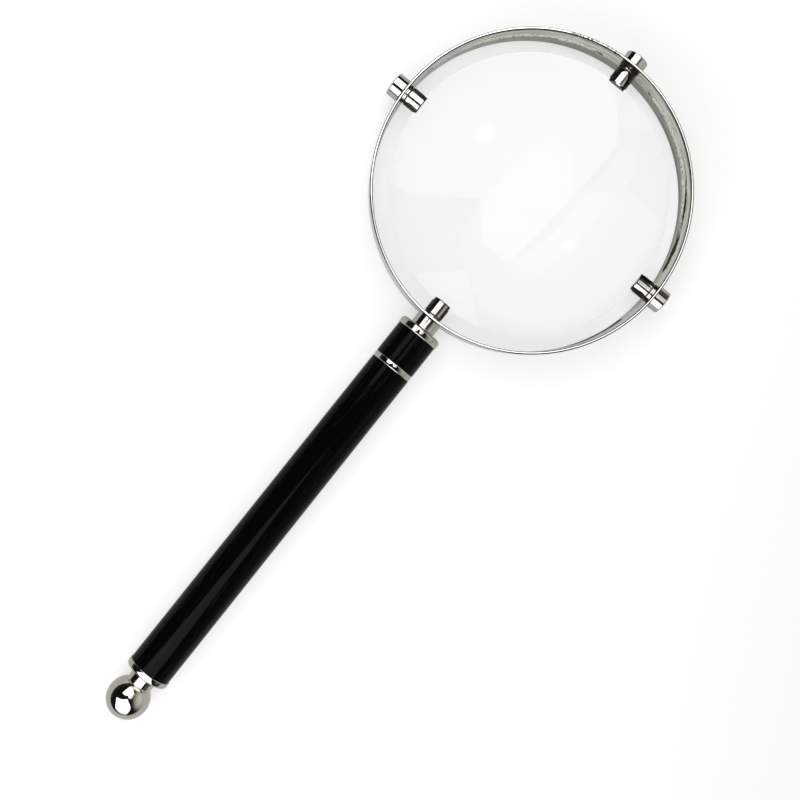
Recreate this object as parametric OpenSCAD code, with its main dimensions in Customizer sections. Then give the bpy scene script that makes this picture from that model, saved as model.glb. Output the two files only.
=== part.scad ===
// Hand magnifier. A biconvex lens sits inside a wide polished band, gripped at its
// edge by four slotted clip posts. Three posts are drawn up by hand-turned screws
// with smooth round heads, and the fourth by the tie rod of a straight lacquered
// handle that ends in a ball finial.
//
// Millimetres. The lens axis is +Z, the lower rim of the band stands on z = 0 and
// the handle runs along -Y.

/* [Lens] */
// Diameter of the lens
lens_d = 90; // [70:1:110]
// Radius of curvature of both faces of the lens
lens_curve = 205; // [150:5:300]
// Thickness of the lens at its ground edge
lens_edge_t = 2; // [1.6:0.1:2.6]
// Bevel ground on each corner of the edge
lens_bevel = 0.25; // [0.1:0.05:0.4]

/* [Band] */
// Open space between the lens and the band
lens_gap = 5.1; // [4.5:0.1:8]
// Wall thickness of the band
band_wall = 0.9; // [0.9:0.1:1.5]
// How far each rim stands proud of the crown of the lens
rim_guard = 2; // [1.2:0.1:5]
// Rounding along the rims of the band
rim_round = 0.4; // [0.1:0.05:0.4]

/* [Clips] */
// Diameter of a clip post
post_d = 6.5; // [6.2:0.1:9]
// How far a post reaches in over the edge of the lens
post_grip = 1; // [0.8:0.1:1.3]
// Chamfer round the inner end of a post
post_chamfer = 0.35; // [0.1:0.05:0.5]
// Length of the relief turned round the foot of a post, where it meets its saddle
relief_len = 0.5; // [0.3:0.05:0.8]
// Depth of that relief
relief_depth = 0.3; // [0.1:0.05:0.4]
// Thickness of the fibre liner in the slot
liner_t = 0.3; // [0.2:0.05:0.4]
// Thickness of a saddle at its middle
saddle_t = 0.5; // [0.4:0.05:0.9]

/* [Clip screws] */
// Diameter of the screw shank
screw_d = 3; // [2.5:0.1:3.6]
// Diameter of the hand-turned head
head_d = 7.8; // [6.6:0.1:10]
// Height of the head
head_h = 4; // [2.8:0.1:6]
// Rounding of the outer edge of the head
head_round = 0.4; // [0.3:0.1:1.3]
// Thickness of the washer under the head
washer_t = 0.4; // [0.3:0.05:0.8]
// How much smaller than the head the washer is, all round
washer_inset = 0.3; // [0.1:0.05:0.6]

/* [Handle] */
// Diameter of the neck between band and handle
neck_d = 8.4; // [7.4:0.1:10]
// Length of the neck
neck_len = 3.8; // [2.5:0.1:12]
// Thickness of the flange at the front of the handle
flange_t = 2.7; // [2:0.1:5]
// Rounding of the front edge of the flange
flange_round = 1; // [0.3:0.1:1.2]
// Rounding of the back edge of the flange and of both edges of the trim ring
edge_round = 0.3; // [0.1:0.05:0.5]
// Outer diameter of the lacquered tubes at the front
grip_d = 14.2; // [13.4:0.1:18]
// How much thicker the long tube grows towards its back end
grip_swell = 0.3; // [0:0.05:1]
// How far the flange and the end cap stand proud of the tubes
collar_proud = 0.25; // [0.1:0.05:2]
// Wall thickness of the lacquered tubes
grip_wall = 1.05; // [0.8:0.05:1.4]
// Length of the short tube at the front
sleeve_len = 11.4; // [9:0.1:40]
// How far the trim ring between the two tubes stands proud of them
trim_proud = 0; // [0:0.05:1]
// Length of the trim ring
trim_len = 2; // [1.2:0.1:6]
// Length of the long tube
grip_len = 122.8; // [80:0.1:180]
// Thickness of the end cap
cap_t = 2.4; // [1.8:0.1:5]
// Rounding of the outer edge of the end cap
cap_round = 1.1; // [0.2:0.1:1.2]
// How far each spigot reaches into its tube
spigot_len = 4; // [3:0.5:4]
// Diameter of the tie rod
rod_d = 4; // [3:0.1:4.4]

/* [Finial] */
// Diameter of the ball
ball_d = 14.2; // [12:0.1:20]
// Diameter of the neck between end cap and ball
finial_neck_d = 8.6; // [7.4:0.1:10]
// Length of that neck up to the ball's surface
finial_neck_len = 3.4; // [2:0.1:8]

/* [Hidden] */
// Radial play of a plug, rod or spigot in its bore
slip = 0.05;
// Gap left between curved faces that bear on each other
seat_gap = 0.05;
// Extra radius of a drilled hole that a screw or rod only passes through
hole_play = 0.15;
// Metal left between a blind bore and the slot or surface ahead of it
bore_web = 0.5;
// Overshoot of a cutting tool past the face it cuts
over = 1;

// Facets that OpenSCAD's own preview gives small rounds, wide rounds, and the very
// flat arcs of the lens and saddles
$fn = 96;
round_fn = 192;
fine_fn = 1440;

lens_r = lens_d / 2;
band_in_r = lens_r + lens_gap;
band_r = band_in_r + band_wall;
// Height of the dome on each face, from the plane of the edge to the crown
dome_h = lens_curve - sqrt(pow(lens_curve, 2) - pow(lens_r, 2));
mid_z = lens_edge_t / 2 + dome_h + rim_guard;
band_w = 2 * mid_z;

// Distances from the lens axis, measured outwards along a clip
post_tip_r = lens_r - post_grip;
grip_h = lens_edge_t / 2 + dome_h - lens_curve + sqrt(pow(lens_curve, 2) - pow(post_tip_r, 2));
liner_half = grip_h + seat_gap;
slot_half = liner_half + liner_t + slip;
slot_end_r = lens_r + 2 * slip + liner_t + slip;
saddle_in_r = band_in_r - seat_gap - saddle_t;
bore_end_r = slot_end_r + bore_web;
screw_end_r = bore_end_r + hole_play;
washer_r = band_r + seat_gap;

// Distances from the lens axis, measured outwards along the handle
neck_r = band_r + seat_gap;
flange_front_r = band_r + neck_len;
sleeve_r = flange_front_r + flange_t;
trim_r = sleeve_r + sleeve_len;
grip_r = trim_r + trim_len;
cap_r = grip_r + grip_len;
finial_r = cap_r + cap_t;
// From the plane where neck and ball meet to the middle of the ball
ball_offset = sqrt(pow(ball_d / 2, 2) - pow(finial_neck_d / 2, 2));
ball_r = finial_r + finial_neck_len + ball_offset;
rod_end_r = ball_r - bore_web;
flange_d = grip_d + 2 * collar_proud;
grip_back_d = grip_d + grip_swell;
cap_d = grip_back_d + 2 * collar_proud;
trim_d = grip_d + 2 * trim_proud;
tube_bore_d = grip_d - 2 * grip_wall;
spigot_d = tube_bore_d - 2 * slip;
tube_chamfer = 0.25;
// Chamfer on the end of a threaded bar of this diameter
function lead(diameter) = diameter / 8;

// Clips by name, each with its direction round the lens axis
CLIPS = [["tip", 90], ["left", 180], ["right", 0], ["handle", 270]];
SCREWED = [CLIPS[0], CLIPS[1], CLIPS[2]];
HANDLE_ANGLE = CLIPS[3][1];

// Puts its children on a line out from the middle of the lens, at this angle and
// distance, with their +Z pointing outwards and their X along the lens axis.
module outward(angle, distance = 0) {
    translate([0, 0, mid_z]) rotate([0, 0, angle]) rotate([0, 90, 0])
        translate([0, 0, distance]) children();
}

// Half section of a disc or tube with quarter-round edges. lower and upper are the
// radii on the outer edges at the bottom and the top, and 0 leaves an edge sharp.
module rounded_section(radius, height, lower = 0, upper = 0) {
    translate([0, lower]) square([radius, height - lower - upper]);
    square([radius - lower, height / 2]);
    translate([0, height / 2]) square([radius - upper, height / 2]);
    if (lower > 0) translate([radius - lower, lower]) circle(lower);
    if (upper > 0) translate([radius - upper, height - upper]) circle(upper);
}

module rounded_disc(diameter, height, lower = 0, upper = 0) {
    rotate_extrude() rounded_section(diameter / 2, height, lower, upper);
}

// A round bar with a chamfer of the same size on each end
module chamfered_bar(diameter, height, start = 0, end = 0) {
    radius = diameter / 2;
    rotate_extrude() polygon([
        [0, 0], [radius - start, 0], [radius, start],
        [radius, height - end], [radius - end, height], [0, height]
    ]);
}

// A drill of this diameter from one height to another, along Z
module drill(diameter, from, to) {
    translate([0, 0, from]) cylinder(d = diameter, h = to - from);
}

// The hole that a clip needs: a screw passes three of them and the tie rod the fourth
function pass_hole_d(angle) = (angle == HANDLE_ANGLE ? rod_d : screw_d) + 2 * hole_play;
function thread_bore_d(angle) = (angle == HANDLE_ANGLE ? rod_d : screw_d) + 2 * slip;

// ---- Head ----

module band_ring() {
    color("gainsboro") difference() {
        rotate_extrude($fn = round_fn) translate([band_in_r, 0]) {
            translate([0, rim_round]) square([band_wall, band_w - 2 * rim_round]);
            translate([rim_round, 0]) square([band_wall - 2 * rim_round, band_w]);
            for (x = [rim_round, band_wall - rim_round], y = [rim_round, band_w - rim_round])
                translate([x, y]) circle(rim_round);
        }
        for (c = CLIPS) outward(c[1])
            drill(pass_hole_d(c[1]), band_in_r - over, band_r + over);
    }
}

// Half section of the lens: two wide arcs for the faces, and a square ground edge
// with bevelled corners
module lens_section() {
    arc_shift = lens_curve - dome_h - lens_edge_t / 2;
    corner = lens_edge_t / 2 - lens_bevel;
    intersection() {
        translate([0, -arc_shift]) circle(lens_curve, $fn = fine_fn);
        translate([0, arc_shift]) circle(lens_curve, $fn = fine_fn);
        polygon([
            [0, -mid_z], [lens_r - mid_z + corner, -mid_z], [lens_r, -corner],
            [lens_r, corner], [lens_r - mid_z + corner, mid_z], [0, mid_z]
        ]);
    }
}

module lens() {
    color("lightcyan", 0.5) translate([0, 0, mid_z])
        rotate_extrude($fn = round_fn) lens_section();
}

// A turned post, slotted across its inner end for the lens and bored from its foot
module clip_post(angle) {
    length = saddle_in_r - post_tip_r;
    color("silver") outward(angle, post_tip_r) difference() {
        chamfered_bar(post_d, length, post_chamfer, 0);
        translate([-slot_half, -post_d, -over])
            cube([2 * slot_half, 2 * post_d, slot_end_r - post_tip_r + over]);
        drill(thread_bore_d(angle), bore_end_r - post_tip_r, length + over);
        translate([0, 0, length - relief_len]) difference() {
            cylinder(d = post_d + 2 * over, h = relief_len + over);
            drill(post_d - 2 * relief_depth, -over, relief_len + 2 * over);
        }
    }
}

// A fibre channel that keeps the glass off the metal, flush with the sides of the post
module slot_liner(angle) {
    depth = slot_end_r - slip - post_tip_r;
    color("saddlebrown") outward(angle, post_tip_r) intersection() {
        difference() {
            translate([slip - slot_half, -post_d, 0])
                cube([2 * (slot_half - slip), 2 * post_d, depth]);
            translate([-liner_half, -post_d - over, -over])
                cube([2 * liner_half, 2 * (post_d + over), depth - liner_t + over]);
        }
        drill(post_d - 4 * slip, 0, depth);
    }
}

// Flat towards the post, and curved to the inside of the band on its back
module saddle(angle) {
    color("silver") difference() {
        outward(angle, saddle_in_r) cylinder(d = post_d, h = saddle_t + over);
        difference() {
            translate([0, 0, -over]) cylinder(r = band_r + over, h = band_w + 2 * over);
            translate([0, 0, -2 * over])
                cylinder(r = band_in_r - seat_gap, h = band_w + 4 * over, $fn = fine_fn);
        }
        outward(angle) drill(pass_hole_d(angle), saddle_in_r - over, band_r);
    }
}

// A smooth round head with its threaded shank, turned in one piece
module clip_screw(angle) {
    color("silver") outward(angle, washer_r + washer_t) {
        rounded_disc(head_d, head_h, 0, head_round);
        shank_len = washer_r + washer_t - screw_end_r;
        mirror([0, 0, 1]) chamfered_bar(screw_d, shank_len, 0, lead(screw_d));
    }
}

module head_washer(angle) {
    color("dimgray") outward(angle, washer_r) difference() {
        cylinder(d = head_d - 2 * washer_inset, h = washer_t);
        drill(thread_bore_d(angle), -over, washer_t + over);
    }
}

// ---- Handle ----

// Neck and flange in one turning. Its front is cut to the curve of the band, and a
// spigot at the back centres the front tube.
module neck_ferrule() {
    color("silver") difference() {
        union() {
            outward(HANDLE_ANGLE, flange_front_r - neck_len - over / 2)
                cylinder(d = neck_d, h = neck_len + over);
            outward(HANDLE_ANGLE, flange_front_r)
                rounded_disc(flange_d, flange_t, flange_round, edge_round);
            outward(HANDLE_ANGLE, sleeve_r - over / 2)
                chamfered_bar(spigot_d, spigot_len + over / 2, 0, tube_chamfer);
        }
        cylinder(r = neck_r, h = band_w, $fn = round_fn);
        outward(HANDLE_ANGLE)
            drill(rod_d + 2 * hole_play, band_in_r, sleeve_r + spigot_len + over);
    }
}

// A tube of this diameter at each end, with its two bores eased for the spigots
module lacquered_tube(length, back_d = grip_d) {
    difference() {
        cylinder(d1 = grip_d, d2 = back_d, h = length);
        drill(tube_bore_d, -over, length + over);
        for (end = [0, 1]) translate([0, 0, end * length]) mirror([0, 0, end])
            cylinder(d1 = tube_bore_d + 2 * tube_chamfer, d2 = tube_bore_d, h = tube_chamfer);
    }
}

module front_sleeve() {
    color([0.03, 0.03, 0.04]) outward(HANDLE_ANGLE, sleeve_r) lacquered_tube(sleeve_len);
}

module trim_ring() {
    color("silver") outward(HANDLE_ANGLE, trim_r) difference() {
        rounded_disc(trim_d, trim_len, edge_round, edge_round);
        drill(tube_bore_d, -over, trim_len + over);
    }
}

// Passes through the trim ring and lines up the two tubes
module joiner_plug() {
    length = 2 * spigot_len + trim_len;
    color("goldenrod") outward(HANDLE_ANGLE, trim_r - spigot_len) difference() {
        chamfered_bar(spigot_d, length, tube_chamfer, tube_chamfer);
        drill(rod_d + 2 * hole_play, -over, length + over);
    }
}

module grip_tube() {
    color([0.03, 0.03, 0.04]) outward(HANDLE_ANGLE, grip_r)
        lacquered_tube(grip_len, grip_back_d);
}

module end_cap() {
    color("silver") outward(HANDLE_ANGLE, cap_r) difference() {
        union() {
            rounded_disc(cap_d, cap_t, 0, cap_round);
            mirror([0, 0, 1]) chamfered_bar(spigot_d, spigot_len, 0, tube_chamfer);
        }
        drill(rod_d + 2 * hole_play, -spigot_len - over, cap_t + over);
    }
}

// Neck and ball in one turning, tapped from the front for the tie rod
module ball_finial() {
    color("silver") outward(HANDLE_ANGLE, finial_r) difference() {
        union() {
            cylinder(d = finial_neck_d, h = finial_neck_len + ball_offset);
            translate([0, 0, ball_r - finial_r]) sphere(d = ball_d);
        }
        drill(rod_d + 2 * slip, -over, rod_end_r + slip - finial_r);
    }
}

// Runs from the clip post at the handle, through band, ferrule, tubes and end cap,
// into the finial, which is its nut
module tie_rod() {
    color("lightsteelblue") outward(HANDLE_ANGLE, screw_end_r)
        chamfered_bar(rod_d, rod_end_r - screw_end_r, lead(rod_d), lead(rod_d));
}

band_ring();
lens();
for (c = CLIPS) {
    clip_post(c[1]);
    slot_liner(c[1]);
    saddle(c[1]);
}
for (c = SCREWED) {
    clip_screw(c[1]);
    head_washer(c[1]);
}
neck_ferrule();
front_sleeve();
trim_ring();
joiner_plug();
grip_tube();
end_cap();
ball_finial();
tie_rod();
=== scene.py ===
"""Hand magnifier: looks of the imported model.

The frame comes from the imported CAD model. Every piece that shows is a surface worked out
on a grid, laid over its CAD node at the node's own size and place, with a finish made of
procedural nodes. Metres, Z up, the lens axis along Z and the handle along -Y.
"""

import math

import bmesh
import bpy
import numpy as np
from mathutils import Matrix, Vector


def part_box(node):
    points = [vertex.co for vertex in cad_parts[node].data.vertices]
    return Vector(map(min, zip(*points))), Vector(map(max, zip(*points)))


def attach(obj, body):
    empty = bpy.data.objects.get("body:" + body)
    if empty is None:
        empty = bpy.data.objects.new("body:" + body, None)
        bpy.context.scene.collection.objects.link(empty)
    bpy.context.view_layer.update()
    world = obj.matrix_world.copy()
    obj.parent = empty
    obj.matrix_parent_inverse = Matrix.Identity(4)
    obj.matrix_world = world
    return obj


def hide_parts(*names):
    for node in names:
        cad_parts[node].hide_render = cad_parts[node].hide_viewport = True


bl_info = {
    "name": "Hand Magnifier",
    "version": (1, 0, 0),
    "blender": (4, 5, 0),
    "location": "View3D > Sidebar > Magnifier",
    "description": "Builds the pieces, finishes and studio of a hand magnifier",
    "category": "Object",
}

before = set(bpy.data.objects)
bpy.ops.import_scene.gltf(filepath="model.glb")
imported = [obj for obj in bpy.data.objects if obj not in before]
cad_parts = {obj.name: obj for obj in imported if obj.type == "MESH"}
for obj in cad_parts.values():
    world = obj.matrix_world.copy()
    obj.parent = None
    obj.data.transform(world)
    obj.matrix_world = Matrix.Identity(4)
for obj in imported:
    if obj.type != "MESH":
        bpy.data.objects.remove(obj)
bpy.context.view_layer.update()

MM = 0.001
# Clips by name, each with its direction round the lens axis in degrees
CLIPS = {"tip": 90, "left": 180, "right": 0, "handle": 270}
SCREWED = ("tip", "left", "right")
HANDLE = CLIPS["handle"]
MID_Z = (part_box("band_ring")[0].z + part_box("band_ring")[1].z) / 2
FIXED_BODY = "magnifier"
# Radial play of a screw in a hole that it passes through, and of a close fit
HOLE_PLAY = 0.15 * MM
SLIP = 0.05 * MM
# Metal left between a blind bore and what lies ahead of it
BORE_WEB = 0.5 * MM


# ---- Places and sizes taken from the frame ----

def reach(node, angle):
    """Nearest and farthest distance of a CAD node from the lens axis, in this direction."""
    side = Vector((math.cos(math.radians(angle)), math.sin(math.radians(angle)), 0))
    return sorted(corner.dot(side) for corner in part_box(node))


def thickness(node):
    """Size of a CAD node along the lens axis, which is a turned piece's diameter."""
    low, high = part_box(node)
    return high.z - low.z


# ---- Outlines and grids ----

def arc(centre, radius, start, end, steps):
    """Points on a circle round centre, from one angle in degrees to another."""
    turn = np.radians(np.linspace(start, end, steps + 1))
    return np.column_stack([centre[0] + radius * np.cos(turn), centre[1] + radius * np.sin(turn)])


def eased(corners, steps=5):
    """Outline through corners of (across, along, rounding). A corner with a rounding is
    swapped for an arc of that radius that touches both of its sides: the arc's middle
    lies on the line that halves the corner, rounding / sin(half the corner) away."""
    spots = np.array([c[:2] for c in corners], float)
    points = []
    for i, corner in enumerate(spots):
        rounding = corners[i][2]
        if rounding <= 0:
            points.append([corner])
            continue
        before = spots[i - 1] - corner
        after = spots[(i + 1) % len(spots)] - corner
        before, after = before / np.linalg.norm(before), after / np.linalg.norm(after)
        half = math.acos(np.clip(before @ after, -1, 1)) / 2
        middle = (before + after) / np.linalg.norm(before + after) * rounding / math.sin(half)
        first = before * rounding / math.tan(half) - middle
        last = after * rounding / math.tan(half) - middle
        sweep = math.pi - 2 * half
        share = np.linspace(0, 1, steps + 1)[:, None]
        bend = np.sin((1 - share) * sweep) * first + np.sin(share * sweep) * last
        points.append(corner + middle + bend / math.sin(sweep))
    return np.concatenate(points)


def ring_outline(bore, front, back, start, end, roundings):
    """Outline of a ring or tube from start to end, of these radii, whose four corners
    have these roundings in turn: bore and outside at its start, outside and bore at its end."""
    spots = ((bore, start), (front, start), (back, end), (bore, end))
    return eased([(*spot, rounding) for spot, rounding in zip(spots, roundings)])


def revolve(outline, turns):
    """Carries an outline of (across, along) round the Z axis: each point becomes
    (across * cos, across * sin, along) at each of the turns, in radians."""
    across, along = outline[:, :1], outline[:, 1:]
    return np.stack([across * np.cos(turns), across * np.sin(turns), along + 0 * turns], axis=2)


def full_turn(sides):
    """Evenly spaced turns round a circle in radians, without the last, which is the first."""
    return np.linspace(0, 2 * math.pi, sides, endpoint=False)


def outward(points, angle):
    """Turns points from a clip's own frame, +Z outwards and -X along the lens axis, to
    the object's frame, at this angle round the lens axis."""
    c, s = math.cos(math.radians(angle)), math.sin(math.radians(angle))
    x, y, z = points[..., 0], points[..., 1], points[..., 2]
    return np.stack([z * c - y * s, z * s + y * c, MID_Z - x], axis=-1)


def patch(points, wrap_rows=False, wrap_columns=False, keep=None, slot=0):
    """A grid of points with how it closes on itself, which of its faces are kept, and
    the number of its material slot."""
    return {"points": points, "wrap": (wrap_rows, wrap_columns), "keep": keep, "slot": slot}


def faces_of(part, first):
    """Corner numbers of each face of a patch whose points are numbered from first."""
    rows, columns = part["points"].shape[:2]
    numbers = first + np.arange(rows * columns).reshape(rows, columns)
    if part["wrap"][0]:
        numbers = np.vstack([numbers, numbers[:1]])
    if part["wrap"][1]:
        numbers = np.hstack([numbers, numbers[:, :1]])
    low, high = numbers[:-1], numbers[1:]
    quads = np.stack([low[:, :-1], low[:, 1:], high[:, 1:], high[:, :-1]], axis=2)
    if part["keep"] is not None:
        return quads[part["keep"]]
    return quads.reshape(-1, 4)


def make_piece(
    name, patches, materials, stands_for, body=FIXED_BODY, sharp=32
):
    """One closed mesh from its patches, with the finishes of these names. Their shared
    edges are merged, faces are turned outwards, and edges sharper than this angle in
    degrees keep their corner."""
    points = np.concatenate([p["points"].reshape(-1, 3) for p in patches])
    starts = np.cumsum([0] + [p["points"][..., 0].size for p in patches])
    faces = [faces_of(p, first) for p, first in zip(patches, starts)]
    mesh = bpy.data.meshes.new(name)
    mesh.from_pydata(points, [], np.concatenate(faces))
    slots = np.concatenate([np.full(len(f), p["slot"]) for p, f in zip(patches, faces)])
    mesh.polygons.foreach_set("material_index", slots.astype(np.int32))
    merged = bmesh.new()
    merged.from_mesh(mesh)
    bmesh.ops.remove_doubles(merged, verts=merged.verts, dist=0.0005 * MM)
    bmesh.ops.recalc_face_normals(merged, faces=merged.faces)
    merged.to_mesh(mesh)
    merged.free()
    mesh.shade_smooth()
    mesh.set_sharp_from_angle(angle=math.radians(sharp))
    for material in materials:
        mesh.materials.append(finishes()[material])
    piece = bpy.data.objects.new(name, mesh)
    bpy.context.scene.collection.objects.link(piece)
    weighted = piece.modifiers.new("Even normals", "WEIGHTED_NORMAL")
    weighted.keep_sharp = True
    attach(piece, body)
    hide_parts(*stands_for)


# ---- Nodes ----

class Nodes:
    """A node tree with short ways to add to it. Wherever a node takes a value, another
    node's output can stand, and is linked."""

    def __init__(self, tree):
        self.tree = tree

    def put(self, socket, value):
        if isinstance(value, bpy.types.NodeSocket):
            self.tree.links.new(value, socket)
        else:
            socket.default_value = value

    def add(self, kind, values=(), **settings):
        """A node with its settings, and values for its sockets by name or number."""
        made = self.tree.nodes.new(kind)
        for key, value in settings.items():
            setattr(made, key, value)
        for key, value in dict(values).items():
            self.put(made.inputs[key], value)
        return made

    def math(self, operation, a, b=0.0, clamp=False):
        made = self.add("ShaderNodeMath", {0: a, 1: b}, operation=operation, use_clamp=clamp)
        return made.outputs[0]

    def plus(self, a, b):
        return self.math("ADD", a, b)

    def minus(self, a, b):
        return self.math("SUBTRACT", a, b)

    def times(self, first, *others):
        for other in others:
            first = self.math("MULTIPLY", first, other)
        return first

    def largest(self, first, *others):
        for other in others:
            first = self.math("MAXIMUM", first, other)
        return first

    def absolute(self, value):
        return self.math("ABSOLUTE", value)

    def ramp(self, value, low, high, to_low=0.0, to_high=1.0):
        """Goes smoothly from to_low to to_high while the value goes from low to high."""
        values = {
            "Value": value, "From Min": low, "From Max": high, "To Min": to_low, "To Max": to_high,
        }
        made = self.add("ShaderNodeMapRange", values, interpolation_type="SMOOTHSTEP")
        return made.outputs["Result"]

    def within(self, value, low, high, soft):
        """1 where the value lies between low and high, and 0 past a soft margin."""
        above = self.ramp(value, low - soft, low)
        return self.times(above, self.ramp(value, high, high + soft, 1.0, 0.0))

    def mix(self, factor, a, b):
        made = self.add("ShaderNodeMix", data_type="RGBA")
        for number, value in ((0, factor), (6, a), (7, b)):
            self.put(made.inputs[number], value)
        return made.outputs[2]

    def noise(self, place, scale, detail=3.0, roughness=0.5):
        values = {"Vector": place, "Scale": scale, "Detail": detail, "Roughness": roughness}
        return self.add("ShaderNodeTexNoise", values).outputs["Fac"]

    def coordinates(self, centre=(0, 0, MID_Z), turn=(0, 0, 0), stretch=(1, 1, 1)):
        """The piece's Object coordinates, moved so that centre is zero, turned and scaled."""
        source = self.add("ShaderNodeTexCoord").outputs["Object"]
        values = {"Vector": source, "Location": centre, "Rotation": turn, "Scale": stretch}
        return self.add("ShaderNodeMapping", values, vector_type="TEXTURE").outputs["Vector"]

    def parts(self, vector):
        return self.add("ShaderNodeSeparateXYZ", {"Vector": vector}).outputs

    def joined(self, values):
        return self.add("ShaderNodeCombineXYZ", values).outputs["Vector"]

    def length(self, vector):
        return self.add("ShaderNodeVectorMath", {0: vector}, operation="LENGTH").outputs["Value"]

    def group(self, tree, values):
        made = self.add("ShaderNodeGroup", node_tree=tree)
        for key, value in values.items():
            self.put(made.inputs[key], value)
        return made.outputs

    def bump(self, height, distance):
        values = {"Height": height, "Distance": distance, "Strength": 1.0}
        return self.add("ShaderNodeBump", values).outputs["Normal"]

    def surface(self, shader, output="ShaderNodeOutputMaterial"):
        self.put(self.add(output).inputs["Surface"], shader.outputs[0])

    def principled(self, values):
        self.surface(self.add("ShaderNodeBsdfPrincipled", values))


def emptied(owner):
    """The nodes of a material or world, with nothing in them yet."""
    owner.use_nodes = True
    owner.node_tree.nodes.clear()
    return Nodes(owner.node_tree)


def start_material(name):
    return emptied(bpy.data.materials.new(name))


def new_group(name, inputs, outputs):
    """A node group with these inputs and their defaults, and these outputs. An input with
    no default is a vector, and all the others are numbers."""
    tree = bpy.data.node_groups.new(name, "ShaderNodeTree")
    for label, default in inputs.items():
        kind = "NodeSocketVector" if default is None else "NodeSocketFloat"
        socket = tree.interface.new_socket(label, in_out="INPUT", socket_type=kind)
        if default is not None:
            socket.default_value = default
    for label in outputs:
        tree.interface.new_socket(label, in_out="OUTPUT", socket_type="NodeSocketFloat")
    given, out = tree.nodes.new("NodeGroupInput"), tree.nodes.new("NodeGroupOutput")
    return Nodes(tree), given.outputs, out.inputs


def tinted(colour, *shares):
    """The colour, opaque, with its red, green and blue each times its share."""
    return (*(part * share for part, share in zip(colour, shares)), 1)


# ---- Shared effects ----

def handling_group():
    """Traces of handling on a hard surface. Smears are wide soft clouds, hairlines are
    thin scratches where a stretched noise crosses its middle value, and pits are specks."""
    nodes, given, out = new_group(
        "Handling traces",
        {"Place": None, "Smear size": 60.0, "Hairline size": 300.0, "Pit size": 900.0},
        ("Smears", "Hairlines", "Pits"),
    )
    clouds = nodes.noise(given["Place"], given["Smear size"], 4.0, 0.6)
    nodes.put(out["Smears"], nodes.ramp(clouds, 0.42, 0.66))
    stretch = {"Vector": given["Place"], "Rotation": (0.5, 0.3, 0.9), "Scale": (1.0, 0.06, 0.3)}
    drawn_out = nodes.add("ShaderNodeMapping", stretch).outputs["Vector"]
    lines = nodes.noise(drawn_out, given["Hairline size"], 2.0, 0.6)
    off_middle = nodes.absolute(nodes.minus(lines, 0.5))
    nodes.put(out["Hairlines"], nodes.ramp(off_middle, 0.0, 0.012, 1.0, 0.0))
    specks = nodes.noise(given["Place"], given["Pit size"], 1.0, 0.4)
    nodes.put(out["Pits"], nodes.ramp(specks, 0.70, 0.78))
    return nodes.tree


def turning_group():
    """Marks of a lathe tool under the plating: fine rings along an axis, uneven in depth."""
    nodes, given, out = new_group(
        "Turning marks", {"Place": None, "Rings per metre": 3000.0}, ("Rings",)
    )
    along = nodes.times(nodes.parts(given["Place"])["Y"], given["Rings per metre"])
    nodes.put(out["Rings"], nodes.noise(nodes.joined({"Y": along}), 1.0, 2.0, 0.7))
    return nodes.tree


def joint_group():
    """A line round the lens axis at some distance from it, as in a joint or on an edge:
    the mask is 1 there, falls to 0 at the line's half width, and is eaten away by noise."""
    nodes, given, out = new_group(
        "Joint grime", {"Place": None, "Distance": 0.05, "Half width": 0.0002}, ("Mask",)
    )
    to_flat = {0: given["Place"], 1: (1, 1, 0)}
    flat = nodes.add("ShaderNodeVectorMath", to_flat, operation="MULTIPLY").outputs[0]
    off = nodes.absolute(nodes.minus(nodes.length(flat), given["Distance"]))
    near = nodes.ramp(nodes.math("DIVIDE", off, given["Half width"]), 0.8, 1.0, 1.0, 0.0)
    eaten = nodes.ramp(nodes.noise(given["Place"], 2200.0, 3.0, 0.6), 0.34, 0.42, 0.2, 1.0)
    nodes.put(out["Mask"], nodes.times(near, eaten))
    return nodes.tree


# ---- Finishes ----

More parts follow.
